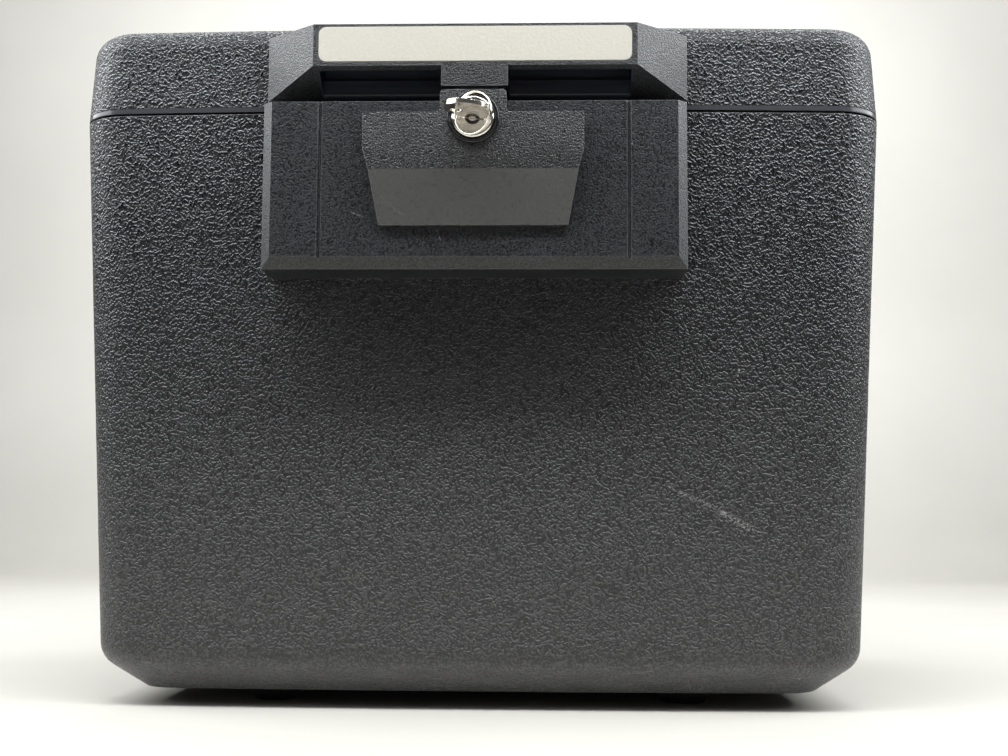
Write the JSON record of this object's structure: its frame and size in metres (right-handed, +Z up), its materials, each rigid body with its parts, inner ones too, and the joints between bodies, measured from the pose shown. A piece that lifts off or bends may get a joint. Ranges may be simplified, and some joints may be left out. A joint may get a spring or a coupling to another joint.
{
  "type": "portable safe",
  "caption": "Portable fire-resistant safe: insulated box with a hinged lid, finger-grip handle, pull latch and key lock.",
  "frame": {"origin": "on the surface that the feet stand on, below the middle of the whole object's box, key included", "axes": "+X to the right across the width, +Y to the back (hinges), +Z up"},
  "size_m": [0.389, 0.3754, 0.3265],
  "materials": {
    "shell_plastic": "moulded charcoal plastic with a pebbled grain",
    "housing_plastic": "moulded charcoal plastic with a fine grain",
    "lever_plastic": "moulded charcoal plastic, fine grain above and smooth facet below",
    "collar_plastic": "glossy black",
    "liner_plastic": "smooth dark grey plastic",
    "fire_filling": "light cement filling",
    "foot_rubber": "black rubber",
    "plate_silver": "satin silver",
    "lock_chrome": "polished",
    "key_nickel": "polished nickel",
    "screw_steel": "blackened steel",
    "zinc_steel": "zinc plated"
  },
  "bodies": {
    "body": {"body_shell": "shell_plastic", "body_insulation": "fire_filling", "body_liner": "liner_plastic", "foot_front_left": "foot_rubber", "foot_front_right": "foot_rubber", "foot_rear_left": "foot_rubber", "foot_rear_right": "foot_rubber", "foot_screws": "screw_steel", "latch_housing": "housing_plastic", "housing_screws": "screw_steel", "latch_pin": "zinc_steel", "latch_spring": "zinc_steel", "hinge_leaf_body_left": "zinc_steel", "hinge_leaf_body_right": "zinc_steel", "hinge_pin_left": "zinc_steel", "hinge_pin_right": "zinc_steel", "hinge_screws_body": "screw_steel"},
    "lid": {"lid_shell": "shell_plastic", "lid_insulation": "fire_filling", "lid_liner": "liner_plastic", "handle_housing": "housing_plastic", "nameplate": "plate_silver", "handle_screws": "screw_steel", "strike_plate": "zinc_steel", "strike_screws": "screw_steel", "hinge_leaf_lid_left": "zinc_steel", "hinge_leaf_lid_right": "zinc_steel", "hinge_screws_lid": "screw_steel"},
    "latch": {"latch_lever": "lever_plastic", "lock_collar": "collar_plastic", "lock_barrel": "lock_chrome", "lock_clip": "zinc_steel"},
    "plug": {"lock_plug": "lock_chrome", "lock_cam": "zinc_steel", "cam_screw": "screw_steel"},
    "key": {"key": "key_nickel"},
    "ring": {"key_ring": "key_nickel"}
  },
  "joints": [
    {"name": "lid_hinge", "type": "hinge", "parent": "body", "child": "lid", "pos_m": [0, 0.18375, 0.282], "axis": [-1, 0, 0], "range_deg": [0, 100]},
    {"name": "latch_pivot", "type": "hinge", "parent": "body", "child": "latch", "pos_m": [0, -0.14825, 0.222], "axis": [1, 0, 0], "range_deg": [0, 12], "stiffness_Nm_per_rad": 0.12, "springref_deg": -28.65},
    {"name": "key_turn", "type": "hinge", "parent": "latch", "child": "plug", "pos_m": [0, -0.15725, 0.269], "axis": [0, -1, 0], "range_deg": [-83.5, 6.5]},
    {"name": "key_withdraw", "type": "slide", "parent": "plug", "child": "key", "axis": [0, -1, 0], "range_m": [0, 0.016]},
    {"name": "ring_swing", "type": "hinge", "parent": "key", "child": "ring", "pos_m": [0.0009, -0.17925, 0.2689], "axis": [0.8572, -0.515, 0], "range_deg": [-12, 12]}
  ]
}
